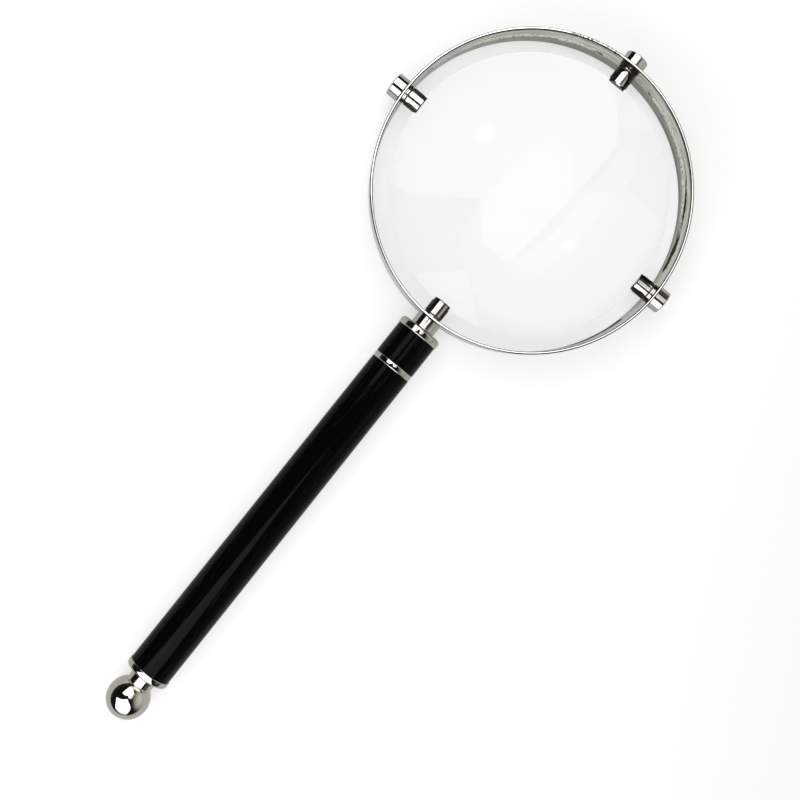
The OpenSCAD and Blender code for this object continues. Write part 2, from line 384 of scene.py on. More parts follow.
def plating(name, colour, turn, groups, joints, wear, outline, painted_highlights=()):
    """Polished nickel plate on a turned piece: a mirror with faint rings from turning and
    small dents that only show where a bright reflection ends, smears, and pits. Where its
    sides face away they are painted dark by outline, a painted dark reflection. Near-black
    lines of painted shade with dirt lie in the joints, and pale painted highlights lie
    along edges, each given as its distance from the lens axis and half width."""
    roughness = 0.03
    nodes = start_material(name)
    place, straight = nodes.coordinates(turn=turn), nodes.coordinates(centre=(0, 0, 0))
    marks = nodes.group(
        groups["handling"], {"Place": place, "Hairline size": 420.0, "Pit size": 2600.0}
    )
    rings = nodes.group(groups["turning"], {"Place": place})["Rings"]
    smeared = nodes.ramp(marks["Smears"], 0, 1, roughness, roughness + 0.05 * wear)
    rough = nodes.plus(smeared, nodes.times(marks["Hairlines"], 0.08 * wear))
    smudged = nodes.times(marks["Smears"], 0.6)
    shade = nodes.mix(smudged, (*colour, 1), tinted(colour, 0.92, 0.91, 0.85))
    pitted = nodes.math("MULTIPLY", marks["Pits"], 0.7 * wear, clamp=True)
    shade = nodes.mix(pitted, shade, (0.16, 0.15, 0.13, 1))

    def line(distance, half_width):
        values = {"Place": straight, "Distance": distance, "Half width": half_width}
        return nodes.group(groups["joint"], values)["Mask"]

    # Each bright is a painted highlight: a pale line along an edge.
    for bright in painted_highlights:
        mask = line(*bright)
        shade = nodes.mix(mask, shade, (0.98, 0.98, 0.95, 1))
        rough = nodes.plus(rough, nodes.times(mask, 0.3))
    metal = 1.0
    # Near-black lines of painted shade with dirt lie in the joints.
    if joints:
        shade_and_dirt = nodes.largest(*(line(*joint) for joint in joints))
        shade = nodes.mix(shade_and_dirt, shade, (0.012, 0.011, 0.009, 1))
        rough = nodes.plus(rough, nodes.times(shade_and_dirt, 0.5))
        metal = nodes.minus(1.0, shade_and_dirt)
    # Painted dark reflection: the sides that face away turn dark, by outline.
    facing = nodes.add("ShaderNodeLayerWeight").outputs["Facing"]
    painted_dark_side = nodes.times(
        nodes.ramp(facing, 0.14, 0.34), nodes.ramp(facing, 0.76, 0.86, 1.0, 0.3), outline
    )
    shade = nodes.mix(painted_dark_side, shade, (0.03, 0.03, 0.025, 1))
    dents = nodes.plus(nodes.noise(place, 1700.0, 2.0, 0.5), nodes.times(rings, 0.12))
    height = nodes.minus(dents, nodes.times(marks["Pits"], 0.5))
    nodes.principled({
        "Base Color": shade, "Metallic": metal, "Roughness": rough,
        "Normal": nodes.bump(height, 0.005 * MM * wear),
    })


def band_plating(name, colour, groups, inner, wall, width):
    """The plating of the band. Inside, level with the lens, a painted line of light from the
    lens edge, rough, bright and speckled, runs round the wall with painted dark specks just
    below it, and stops in a dark blot short of each clip. Its height wanders with noise.
    The wall is darker below it and paler above it, combed by faint lines, and two long
    black streaks lie to either side of the right clip. Painted shade darkens the rounded
    corners and lies along the edges of the wall, a painted highlight lies on the middle of
    each rim, and the plate is chipped along one stretch of the outer rim. Heights are
    measured from the lens, and directions in degrees from the right clip."""
    nodes = start_material(name)
    ramp, within, times, largest = nodes.ramp, nodes.within, nodes.times, nodes.largest
    place = nodes.coordinates(centre=(0, 0, width / 2))
    smears = nodes.group(groups["handling"], {"Place": place, "Smear size": 40.0})["Smears"]
    parts = nodes.parts(place)
    x, y, height = parts["X"], parts["Y"], parts["Z"]
    from_wall = nodes.minus(nodes.length(nodes.joined({"X": x, "Y": y})), inner)
    on_inside = ramp(from_wall, 0.1 * MM, 0.3 * MM, 1, 0)
    beside_clip = nodes.math("MINIMUM", nodes.absolute(x), nodes.absolute(y))
    turn = nodes.math("ARCTAN2", y, x)

    def sector(low, high, soft):
        return within(turn, math.radians(low), math.radians(high), math.radians(soft))

    wander = nodes.minus(nodes.noise(place, 150.0, 4.0, 0.7), 0.5)
    wandered = nodes.minus(height, times(wander, 5 * MM))
    above_line = nodes.plus(wandered, times(sector(32, 42, 9), 2 * MM))
    off_line = nodes.absolute(above_line)
    clear = nodes.minus(1.0, sector(-42, 21, 5))
    lined = times(on_inside, clear, ramp(beside_clip, 10 * MM, 11 * MM))
    # The line is painted light from the lens edge, not a mark on the plate, and the dark specks
    # just below it are painted too.
    speckle = ramp(nodes.noise(place, 1300.0, 3.0, 0.7), 0.45, 0.50)
    line = times(lined, ramp(off_line, 1.2 * MM, 1.9 * MM, 1, 0), speckle)
    specks = ramp(nodes.noise(place, 800.0, 3.0, 0.7), 0.56, 0.60)
    painted_dark_specks = times(lined, within(above_line, -1.9 * MM, -0.3 * MM, 0.3 * MM), specks)
    clip_side = within(beside_clip, 9.6 * MM, 11.4 * MM, 0.5 * MM)
    blots = times(on_inside, clear, clip_side, ramp(off_line, 0.5 * MM, 1.0 * MM, 1, 0))

    # Each streak: where it starts, is full, thins and ends, and its first and last height
    streaks = 0.0
    for low, full, thin, high, first, last in (
        (8.5, 11, 20, 60, -1.6, 3.0), (-42, -32, -15, -12, -3.4, -3.4),
    ):
        low, full, thin, high = (math.radians(a) for a in (low, full, thin, high))
        level = ramp(turn, low, high, first * MM, last * MM)
        spread = times(ramp(turn, low, full), ramp(turn, thin, high, 1, 0))
        off = nodes.absolute(nodes.minus(wandered, level))
        past_half = nodes.minus(off, times(spread, 2.5 * MM))
        streak = times(on_inside, ramp(past_half, -0.5 * MM, 0.0, 1, 0), ramp(spread, 0, 0.1))
        streaks = largest(streak, streaks)
    streaks = times(streaks, ramp(line, 0, 1, 1.0, 0.3))

    half_width = width / 2
    # Painted shade darkens the rounded corners of the rims and lies along the edges of the wall,
    # and a painted highlight lies on the middle of each rim.
    off_core = nodes.absolute(nodes.minus(from_wall, wall / 2))
    on_edge = ramp(nodes.absolute(height), half_width - 0.7 * MM, half_width - 0.45 * MM)
    corners = times(on_edge, ramp(off_core, 0.16 * MM, 0.24 * MM))
    painted_rim_highlight = times(on_edge, ramp(off_core, 0.16 * MM, 0.24 * MM, 1, 0))
    front_edge = times(
        on_inside, within(height, half_width - 1.4 * MM, width, 0.3 * MM),
        ramp(sector(74, 110, 6), 0, 1, 1.0, 0.25),
    )
    back_edge = times(
        on_inside, within(height, -6.9 * MM, -5.5 * MM, 0.4 * MM), sector(10, 66, 8), 0.75
    )
    painted_edge_shade = largest(times(corners, 0.93), times(largest(front_edge, back_edge), 0.8))
    chips = times(
        sector(97, 114, 2), ramp(height, 6.6 * MM, 7.0 * MM),
        ramp(off_core, 0.02 * MM, 0.1 * MM, 0.35, 1.0),
        ramp(nodes.noise(place, 1500.0, 4.0, 0.75), 0.505, 0.525),
    )
    dark = largest(times(painted_dark_specks, 0.8), chips, streaks, times(blots, 0.9))

    # The wall is paler above the line and darker below it.
    pale = times(on_inside, ramp(above_line, 0.0, 1.5 * MM))
    darker_below = times(on_inside, ramp(above_line, -2.5 * MM, -0.5 * MM, 1, 0))
    unrolled = nodes.joined({"X": times(turn, 9 * MM), "Y": height})
    combed = ramp(nodes.noise(unrolled, 420.0, 3.0, 0.75), 0.44, 0.60, 0.0, 0.6)
    shade = nodes.mix(times(smears, 0.6), (*colour, 1), tinted(colour, 0.92, 0.91, 0.85))
    # Of these colours, the line's is painted light, the rims' middle a painted highlight, and the
    # corners' and edges' painted shade.
    for mask, over in (
        (pale, (0.84, 0.84, 0.73)),
        (darker_below, (0.36, 0.36, 0.29)),
        (times(on_inside, combed), (0.30, 0.30, 0.24)),
        (line, (1.0, 0.99, 0.91)),
        (painted_rim_highlight, (0.95, 0.95, 0.94)),
        (painted_edge_shade, (0.02, 0.019, 0.015)),
        (dark, (0.012, 0.011, 0.008)),
    ):
        shade = nodes.mix(mask, shade, (*over, 1))
    # The painted line of light and the dark marks are matt and not metal.
    matt_marks = largest(dark, line)
    relief = nodes.minus(nodes.noise(place, 1100.0, 3.0, 0.6), times(chips, 4.0))
    nodes.principled({
        "Base Color": shade,
        "Metallic": nodes.minus(1.0, matt_marks),
        "Roughness": largest(ramp(smears, 0, 1, 0.04, 0.09), times(matt_marks, 0.55)),
        "Specular IOR Level": nodes.minus(0.5, times(dark, 0.45)),
        "Normal": nodes.bump(relief, 0.004 * MM),
    })


def lacquer(name, colour, groups):
    """Black lacquer baked on a metal tube: a deep gloss with a slight ripple, a little
    duller in soft clouds where it has been held, and crossed by a few hairlines."""
    nodes = start_material(name)
    place = nodes.coordinates()
    marks = nodes.group(
        groups["handling"],
        {"Place": place, "Smear size": 32.0, "Hairline size": 220.0, "Pit size": 2600.0},
    )
    hairlines = marks["Hairlines"]
    dulled = nodes.ramp(marks["Smears"], 0, 1, 0.05, 0.08)
    ripple = nodes.plus(nodes.noise(place, 700.0, 3.0, 0.55), nodes.times(marks["Pits"], 0.6))
    nodes.principled({
        "Base Color": nodes.mix(nodes.times(hairlines, 0.25), (*colour, 1), (0.02, 0.02, 0.022, 1)),
        "Roughness": nodes.plus(dulled, nodes.times(hairlines, 0.08)),
        "Specular IOR Level": 0.07,
        "Normal": nodes.bump(ripple, 0.004 * MM),
    })


def clear_glass(name, tint, groups):
    """Crown glass, polished, with the faint film that a wiping cloth leaves."""
    nodes = start_material(name)
    marks = nodes.group(
        groups["handling"],
        {"Place": nodes.coordinates(), "Smear size": 24.0, "Hairline size": 200.0},
    )
    film = nodes.ramp(marks["Smears"], 0, 1, 0.0, 0.006)
    nodes.principled({
        "Base Color": (*tint, 1),
        "Roughness": nodes.plus(film, nodes.times(marks["Hairlines"], 0.01)),
        "IOR": 1.52,
        "Specular Tint": (0.5, 0.5, 0.5, 1),
        "Transmission Weight": 1.0,
    })


def ground_glass(name, tint):
    """The lens's ground edge, left matt by the grinding wheel, with fine rings along the
    edge and small duller chips. It hardly bends the light, so that it shows as a soft
    pale line and not as a dark one."""
    nodes = start_material(name)
    place = nodes.coordinates(stretch=(1, 1, 0.12))
    grain = nodes.noise(place, 2600.0, 4.0, 0.7)
    chips = nodes.ramp(nodes.noise(place, 700.0, 2.0, 0.6), 0.56, 0.66)
    nodes.principled({
        "Base Color": nodes.mix(chips, (*tint, 1), tinted(tint, 0.96, 0.95, 0.92)),
        "Roughness": nodes.ramp(grain, 0.3, 0.7, 0.1, 0.3),
        "IOR": 1.02,
        "Transmission Weight": 1.0,
        "Normal": nodes.bump(grain, 0.03 * MM),
    })


def pressed_fibre(name, colour):
    """Vulcanised fibre: matt, brown, with a felted grain of short pale and dark strands."""
    nodes = start_material(name)
    felt = nodes.noise(nodes.coordinates(stretch=(1, 1, 0.5)), 1800.0, 5.0, 0.7)
    across = nodes.coordinates((0, 0, 0), turn=(0.4, 0.2, 0.8), stretch=(0.15, 1, 1))
    blend = nodes.times(nodes.plus(felt, nodes.noise(across, 900.0)), 0.5)
    dark, pale = tinted(colour, 0.55, 0.5, 0.45), tinted(colour, 1.3, 1.3, 1.3)
    nodes.principled({
        "Base Color": nodes.mix(nodes.ramp(blend, 0.35, 0.65), dark, pale),
        "Roughness": nodes.ramp(felt, 0.3, 0.7, 0.6, 0.9),
        "Normal": nodes.bump(blend, 0.05 * MM),
    })


def moulded_nylon(name, colour, groups):
    """Dark nylon with a soft moulded skin, paler where it has been squeezed."""
    nodes = start_material(name)
    place = nodes.coordinates()
    squeezed = nodes.group(groups["handling"], {"Place": place, "Smear size": 300.0})["Smears"]
    skin = nodes.noise(place, 2200.0, 3.0, 0.6)
    nodes.principled({
        "Base Color": nodes.mix(squeezed, (*colour, 1), tinted(colour, 1.5, 1.5, 1.45)),
        "Roughness": nodes.ramp(skin, 0.3, 0.7, 0.38, 0.55),
        "Normal": nodes.bump(skin, 0.015 * MM),
    })


def bare_metal(name, colour, roughness, groups):
    """Unplated metal as it leaves the lathe: rings and a light tarnish in clouds."""
    nodes = start_material(name)
    place = nodes.coordinates()
    tarnish = nodes.group(groups["handling"], {"Place": place, "Smear size": 120.0})["Smears"]
    rings = nodes.group(groups["turning"], {"Place": place, "Rings per metre": 5000.0})["Rings"]
    nodes.principled({
        "Base Color": nodes.mix(tarnish, (*colour, 1), tinted(colour, 0.7, 0.66, 0.6)),
        "Metallic": 1.0,
        "Roughness": nodes.ramp(rings, 0.3, 0.7, roughness, roughness + 0.2),
        "Normal": nodes.bump(rings, 0.02 * MM),
    })


def finishes():
    """Every finish of the object by name, made once."""
    if "nickel_on_band" in bpy.data.materials:
        return bpy.data.materials
    colours = bpy.context.scene.magnifier_colours
    sizes = bpy.context.scene.magnifier_sizes
    groups = {"handling": handling_group(), "turning": turning_group(), "joint": joint_group()}
    outer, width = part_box("band_ring")[1].x, 2 * MID_Z
    inner = outer - sizes.band_wall
    band_plating("nickel_on_band", colours.nickel, groups, inner, sizes.band_wall, width)

    foot = reach("clip_post_tip", CLIPS["tip"])[1]
    under_head = reach("clip_screw_tip", CLIPS["tip"])[1] - sizes.head_height
    # Joints where near-black lines of painted shade with dirt lie: the relief at the foot of each
    # post, the band's inner wall, and midway from the band to the screw heads.
    joints = (
        (foot - sizes.relief_length / 2, 0.55 * sizes.relief_length),
        (inner, 0.09 * MM),
        (outer + 0.5 * (under_head - outer), 0.2 * MM),
    )
    lengthwise, crosswise = (0, 0, 0), (0, 0, math.radians(90))
    # outline sets how dark the painted dark sides are, and also raises the wear.
    for kind, outline in (("posts", 0.92), ("heads", 0.3)):
        for way, turn in (("lengthwise", lengthwise), ("crosswise", crosswise)):
            name = f"nickel_on_{kind}_{way}"
            plating(name, colours.nickel, turn, groups, joints, 1.0 + outline, outline)

    # Painted highlights: pale lines along the flange's back edge and both edges of the trim ring.
    half_round = 0.5 * sizes.edge_round
    edges = [reach("front_sleeve", HANDLE)[0] - half_round]
    trim_start, trim_end = reach("trim_ring", HANDLE)
    edges += [trim_start + half_round, trim_end - half_round]
    painted_highlights = [(edge, half_round) for edge in edges]
    plating("nickel_on_fittings", colours.nickel, lengthwise, groups, (), 0.7, 0.35, painted_highlights)

    lacquer("black_lacquer_gloss", colours.lacquer, groups)
    clear_glass("crown_glass", colours.glass, groups)
    ground_glass("crown_glass_ground", colours.ground_edge)
    pressed_fibre("fibre_dark", colours.fibre)
    moulded_nylon("nylon_dark", colours.nylon, groups)
    bare_metal("brass_turned", colours.brass, 0.22, groups)
    bare_metal("steel_turned", colours.steel, 0.28, groups)
    return bpy.data.materials


def plating_for(clip, kind):
    """Name of the plating whose turning rings run round this clip's own axis."""
    way = "lengthwise" if clip in ("tip", "handle") else "crosswise"
    return f"nickel_on_{kind}_{way}"


def refinish(node, name):
    """Gives a CAD node that keeps its own shape its finish."""
    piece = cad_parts[node]
    piece.data.materials.clear()
    piece.data.materials.append(finishes()[name])


# ---- Properties ----

def number(name, description, default, **limits):
    return bpy.props.FloatProperty(name=name, description=description, default=default, **limits)


def length(name, description, millimetres, low=0.01, high=200.0):
    return number(
        name, description, millimetres * MM, min=low * MM, max=high * MM, unit="LENGTH", precision=5
    )


def vector(name, description, default, **limits):
    return bpy.props.FloatVectorProperty(
        name=name, description=description, default=default, size=3, **limits
    )


def colour(name, description, default):
    return vector(name, description, default, min=0, max=1, subtype="COLOR")


class MagnifierSizes(bpy.types.PropertyGroup):
    """Sizes that the frame's boxes don't give."""

    band_wall: length("Band wall", "Wall thickness of the band", 0.9)
    rim_round: length("Rim round", "Rounding along the rims of the band", 0.4)
    lens_edge: length("Lens edge", "Thickness of the lens at its ground edge", 2.0)
    lens_curve: length("Lens curve", "Radius of curvature of both faces of the lens", 205, 100, 400)
    lens_bevel: length("Lens bevel", "Bevel ground on each corner of the edge", 0.25)
    slot_half: length("Slot half width", "Half of the slot in a clip post", 1.6218)
    slot_depth: length("Slot depth", "Depth of the slot from the tip of a post", 1.45)
    post_chamfer: length("Post chamfer", "Chamfer round the inner end of a post", 0.35)
    relief_length: length("Relief length", "Length of the relief at the foot of a post", 0.5)
    relief_depth: length("Relief depth", "Depth of that relief", 0.3)
    screw_shank: length("Screw shank", "Diameter over the thread of a clip screw", 3.0)
    screw_pitch: length("Screw pitch", "Distance between the turns of the thread", 0.5)
    head_round: length("Head round", "Rounding of the outer edge of a screw head", 0.4)
    head_height: length("Head height", "Height of a screw head", 4.0)
    neck: length("Neck", "Diameter of the neck between band and handle", 8.4)
    neck_length: length("Neck length", "Length of that neck", 3.8)
    flange_round: length("Flange round", "Rounding of the front edge of the flange", 1.0)
    edge_round: length("Edge round", "Rounding of the flange's back edge and of the trim ring", 0.3)
    spigot: length("Spigot", "Diameter of the spigots inside the tubes", 12.0)
    tube_bore: length("Tube bore", "Bore of the two lacquered tubes", 12.1)
    rod_hole: length("Rod hole", "Hole that the tie rod passes through", 4.3)
    cap: length("End cap", "Thickness of the end cap", 2.4)
    cap_round: length("Cap round", "Rounding of the outer edge of the end cap", 1.1)
    finial_neck: length("Finial neck", "Diameter of the neck of the finial", 8.6)
    small_round: length("Small round", "Rounding of the other turned edges", 0.12)


class MagnifierColours(bpy.types.PropertyGroup):
    """Base colour of each finish."""

    nickel: colour("Nickel", "Polished nickel plate", (0.75, 0.73, 0.665))
    lacquer: colour("Lacquer", "Black lacquer of the handle", (0.002, 0.002, 0.0022))
    glass: colour("Glass", "Tint of the lens", (0.985, 0.992, 0.988))
    ground_edge: colour("Ground edge", "Matt edge of the lens", (0.96, 0.97, 0.94))
    fibre: colour("Fibre", "Liners in the slots of the posts", (0.07, 0.055, 0.045))
    nylon: colour("Nylon", "Washers under the screw heads", (0.16, 0.16, 0.15))
    brass: colour("Brass", "Joiner plug inside the handle", (0.72, 0.58, 0.30))
    steel: colour("Steel", "Tie rod inside the handle", (0.56, 0.57, 0.58))


class MagnifierStage(bpy.types.PropertyGroup):
    """Camera, soft boxes and the room round them."""

    camera_place: vector(
        "Camera", "Place of the camera", (-0.0182, -0.0752, 0.418), subtype="XYZ", unit="LENGTH"
    )
    camera_aim: vector(
        "Aim", "Point that the camera looks at", (0.0087, -0.0769, 0.008), subtype="XYZ",
        unit="LENGTH",
    )
    camera_roll: number(
        "Roll", "Turn of the camera about its own axis, from +Y upwards", math.radians(38.58),
        subtype="ANGLE",
    )
    focal_length: number(
        "Focal length", "Focal length on a 36 mm sensor", 57.915, min=10, max=300, unit="CAMERA"
    )
    softbox_strength: number(
        "Soft boxes", "Brightness of the two soft boxes, of which the white card has a share", 1.9,
        min=0, max=20,
    )
    room: number("Room", "Brightness of the dim room above the floor", 0.008, min=0, max=1)


# ---- Pieces ----

class MAGNIFIER_OT_band(bpy.types.Operator):
    """Adds the turned band with its four drilled holes"""

    bl_idname = "magnifier.band"
    bl_label = "Band"

    def execute(self, context):
        sizes = context.scene.magnifier_sizes
        outer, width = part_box("band_ring")[1].x, thickness("band_ring")
        # One hole to each quarter, from +X: three for screws and one for the tie rod
        holes = [sizes.screw_shank / 2 + HOLE_PLAY] * 3 + [sizes.rod_hole / 2]
        patches = drilled_band(outer, sizes.band_wall, width, sizes.rim_round, holes)
        make_piece("band", patches, ["nickel_on_band"], ["band_ring"])
        return {"FINISHED"}


def square_edge(steps):
    """Points evenly spaced round the edge of the square from -1 to 1, from its lower left
    corner, anticlockwise, without the last."""
    side = np.linspace(-1, 1, steps, endpoint=False)
    one = np.ones(steps)
    return np.concatenate([
        np.column_stack(pair) for pair in ((side, -one), (one, side), (-side, one), (-one, -side))
    ])


def drilled_band(outer, wall, width, rounding, holes):
    """The band's outline carried round the lens axis. Each wall leaves out a square round
    every hole, and a patch fills it with rings that go from the square's edge to the hole:
    ring = (1 - share) * hole + share * square, laid on the wall's cylinder."""
    inner = outer - wall
    # Rows and columns of the square, half its size, and columns between two squares
    steps, half, columns = 10, 2.6 * MM, 60
    half_turn, quarter_turn = half / outer, math.pi / 2
    tops = np.linspace(half, width / 2 - rounding, 4)[1:]
    wall_rows = np.concatenate([-tops[::-1], np.linspace(-half, half, steps + 1), tops])
    round_z = width / 2 - rounding
    upper = np.vstack([
        arc((inner + rounding, round_z), rounding, 180, 90, 5)[1:],
        arc((outer - rounding, round_z), rounding, 90, 0, 5)[:-1],
    ])
    inner_rows = np.column_stack([np.full(len(wall_rows), inner), wall_rows])
    outer_rows = np.column_stack([np.full(len(wall_rows), outer), wall_rows[::-1]])
    outline = np.vstack([inner_rows, upper, outer_rows, upper[::-1] * (1, -1)])
    fine = np.linspace(-half_turn, half_turn, steps + 1)[:-1]
    between = np.linspace(half_turn, quarter_turn - half_turn, columns + 1)[:-1]
    turns = np.concatenate([np.append(fine, between) + q * quarter_turn for q in range(4)])
    grid = revolve(outline, turns) + (0, 0, width / 2)
    keep = np.ones((len(outline), len(turns)), bool)
    for first_column in range(0, len(turns), steps + columns):
        for first_row in (len(tops), len(inner_rows) + len(upper) + len(tops)):
            keep[first_row:first_row + steps, first_column:first_column + steps] = False
    patches = [patch(grid, True, True, keep)]
    edge = square_edge(steps)
    turn = np.arctan2(edge[:, 1] * half, edge[:, 0] * half)
    share = np.linspace(0, 1, 7)[:, None] ** 1.4
    for q, hole in enumerate(holes):
        rims = []
        for radius in (inner, outer):
            hole_turns = np.arcsin(hole * np.cos(turn) / radius)
            across = (1 - share) * hole_turns + share * edge[:, 0] * half_turn
            along = (1 - share) * hole * np.sin(turn) + share * edge[:, 1] * half
            angle = across + q * quarter_turn
            rims.append(np.stack(
                [radius * np.cos(angle), radius * np.sin(angle), along + width / 2], axis=2
            ))
        bore = np.stack([rims[0][0], rims[1][0]])
        patches += [patch(ring, wrap_columns=True) for ring in (*rims, bore)]
    return patches


class MAGNIFIER_OT_lens(bpy.types.Operator):
    """Adds the biconvex lens with its ground edge"""

    bl_idname = "magnifier.lens"
    bl_label = "Lens"

    def execute(self, context):
        sizes = context.scene.magnifier_sizes
        patches = lens_patches(
            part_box("lens")[1].x, sizes.lens_curve, sizes.lens_edge / 2, sizes.lens_bevel
        )
        materials = ["crown_glass", "crown_glass_ground"]
        make_piece("lens_glass", patches, materials, ["lens"])
        return {"FINISHED"}


def lens_patches(radius, curve, half_edge, bevel):
    """Two spherical caps, each at the height sqrt(curve^2 - across^2) less the height of
    that sphere at the edge, and between them the ground edge with its two bevels."""
    turns = full_turn(256)
    sphere_edge = math.sqrt(curve ** 2 - radius ** 2)

    def height(across):
        return half_edge + np.sqrt(curve ** 2 - across ** 2) - sphere_edge

    bevel_start = radius - bevel
    across = bevel_start * np.sin(np.linspace(0, math.pi / 2, 40))
    cap = np.column_stack([across, height(across)])
    edge = np.array([
        [bevel_start, height(bevel_start)],
        [radius, half_edge - bevel],
        [radius, bevel - half_edge],
        [bevel_start, -height(bevel_start)],
    ])
    return [
        patch(revolve(outline, turns) + (0, 0, MID_Z), wrap_columns=True, slot=slot)
        for outline, slot in ((cap, 0), (edge, 1), (cap[::-1] * (1, -1), 0))
    ]


class MAGNIFIER_OT_clip_posts(bpy.types.Operator):
    """Adds the four slotted clip posts"""

    bl_idname = "magnifier.clip_posts"
    bl_label = "Clip Posts"

    def execute(self, context):
        sizes = context.scene.magnifier_sizes
        for clip, angle in CLIPS.items():
            node = f"clip_post_{clip}"
            start, end = reach(node, angle)
            bore = sizes.rod_hole / 2 if clip == "handle" else sizes.screw_shank / 2
            patches = slotted_post(thickness(node) / 2, end - start, bore, sizes)
            for part in patches:
                part["points"] = outward(part["points"] + (0, 0, start), angle)
            make_piece(f"post_{clip}", patches, [plating_for(clip, "posts")], [node])
        return {"FINISHED"}


def slotted_post(radius, depth, bore, sizes):
    """A turned post with a slot across its tip, in the post's own frame with its tip at
    z = 0 and the slot between x = -slot_half and slot_half. Its outline gives a radius for
    each row. The slot's sides meet the round side at the angle acos(slot_half / radius),
    so the columns lie between these angles and the jaws are the columns outside them."""
    half, slot_depth = sizes.slot_half, sizes.slot_depth
    chamfer, neck = sizes.post_chamfer, radius - sizes.relief_depth
    relief, columns = depth - sizes.relief_length, 33
    jaw = np.array([
        (radius - chamfer, 0), (radius - chamfer / 2, chamfer / 2), (radius, chamfer),
        (radius, (chamfer + slot_depth) / 2), (radius, slot_depth),
    ])
    root = np.array([
        (radius, (slot_depth + relief) / 2), (radius, relief), (neck, relief), (neck, depth),
    ])
    across, along = np.vstack([jaw, root]).T
    slot_turn = np.arccos(half / across)[:, None]
    jaw_turns = slot_turn * np.linspace(-1, 1, columns)
    slot_turns = slot_turn + (math.pi - 2 * slot_turn) * np.linspace(0, 1, columns)
    cut, rooted, every = slice(0, len(jaw)), slice(len(jaw) - 1, None), slice(None)
    width = np.linspace(-1, 1, 9)

    def side(turns, rows):
        """Patch on the round side, of these rows, with its own turns in each row."""
        r, z, turns = across[rows, None], along[rows, None], turns[rows]
        return patch(np.stack([r * np.cos(turns), r * np.sin(turns), z + 0 * turns], axis=2))

    def sheet(x, y, z):
        """Patch of points whose y changes from column to column."""
        return patch(np.stack([x + 0 * y, y, z + 0 * y], axis=2))

    patches = []
    for flip, sign in ((0, 1), (math.pi, -1)):
        patches.append(side(jaw_turns + flip, every))
        patches.append(side(slot_turns + flip, rooted))
        spread = np.sqrt(across[cut, None] ** 2 - half ** 2) * width
        patches.append(sheet(sign * half, sign * spread, along[cut, None]))
        tip_turns = jaw_turns[0, columns // 2:, None] + flip
        tip_half = np.abs(across[0] * np.sin(tip_turns)) * width * sign
        patches.append(sheet(across[0] * np.cos(tip_turns), tip_half, 0))
    floor_turns = slot_turns[len(jaw) - 1, :, None]
    floor_half = np.abs(radius * np.sin(floor_turns)) * width
    patches.append(sheet(radius * np.cos(floor_turns), floor_half, slot_depth))
    last_jaw, last_slot = jaw_turns[-1], slot_turns[-1]
    foot_turns = np.concatenate([
        last_jaw, last_slot[1:], last_jaw[1:] + math.pi, last_slot[1:-1] + math.pi
    ])
    lead, bore_end = 0.3 * MM, slot_depth + BORE_WEB
    foot = np.array([
        (neck, depth), (bore + lead, depth), (bore, depth - lead), (bore, bore_end), (0, bore_end),
    ])
    patches.append(patch(revolve(foot, foot_turns), wrap_columns=True))
    return patches


class MAGNIFIER_OT_saddles(bpy.types.Operator):
    """Adds the saddles between posts and band"""

    bl_idname = "magnifier.saddles"
    bl_label = "Saddles"

    def execute(self, context):
        sizes = context.scene.magnifier_sizes
        ease = 0.06 * MM
        for clip, angle in CLIPS.items():
            node = f"saddle_{clip}"
            start, end = reach(node, angle)
            radius = thickness(node) / 2
            hole = sizes.rod_hole / 2 if clip == "handle" else sizes.screw_shank / 2 + HOLE_PLAY
            outline = ring_outline(hole, radius, radius, start, end, (0, ease, 0, 0))
            grid = revolve(outline, full_turn(96))
            # The back is hollow, to lie on the band: sqrt(end^2 - across^2) from the lens axis
            back = np.sqrt(end ** 2 - grid[..., 1] ** 2)
            is_back = outline[:, 1] > start + 2 * ease
            grid[is_back, :, 2] = back[is_back]
            patches = [patch(outward(grid, angle), True, True)]
            make_piece(f"saddle_washer_{clip}", patches, [plating_for(clip, "posts")], [node])
        return {"FINISHED"}


class MAGNIFIER_OT_clip_screws(bpy.types.Operator):
    """Adds the three clip screws, each a smooth head with its threaded shank"""

    bl_idname = "magnifier.clip_screws"
    bl_label = "Clip Screws"

    def execute(self, context):
        sizes = context.scene.magnifier_sizes
        for clip in SCREWED:
            node, angle = f"clip_screw_{clip}", CLIPS[clip]
            grid = threaded_screw(thickness(node) / 2, *reach(node, angle), sizes)
            patches = [patch(outward(grid, angle), wrap_columns=True)]
            name, material = f"screw_piece_{clip}", plating_for(clip, "heads")
            make_piece(name, patches, [material], [node], body=f"screw_{clip}", sharp=45)
        return {"FINISHED"}


def threaded_screw(head_radius, start, end, sizes):
    """A head and shank on one grid. In the shank each row's radius goes with the turn: a
    right-hand thread keeps its shape where (along / pitch - turn / full turn) is the same,
    and its height over the root is that phase's distance from the middle of the groove,
    cut flat at crest and root. The thread runs out below the head and starts on a cone."""
    turns = full_turn(72)
    under_head = end - sizes.head_height
    crest, pitch = sizes.screw_shank / 2, sizes.screw_pitch
    groove = 0.6 * pitch
    root = crest - groove
    head = eased([
        (0, end, 0), (head_radius, end, sizes.head_round), (head_radius, under_head, 0.1 * MM),
        (root, under_head, 0),
    ], steps=10)
    along = np.arange(under_head - 0.04 * MM, start, -pitch / 14)
    phase = np.mod(along[:, None] / pitch - turns / (2 * math.pi), 1)
    ridge = np.clip(1.25 - np.abs(phase - 0.5) * 3.0, 0, 1)
    runout = np.clip((under_head - along) / (1.5 * pitch) - 0.5, 0, 1)[:, None]
    cone = np.clip(root + (along - start)[:, None] * 1.2, 0, crest)
    radius = np.minimum(root + groove * ridge * runout, cone)
    thread = np.stack(
        [radius * np.cos(turns), radius * np.sin(turns), along[:, None] + 0 * radius], axis=2
    )
    tip = revolve(np.array([(root * 0.92, start), (0, start)]), turns)
    return np.concatenate([revolve(head, turns), thread, tip])


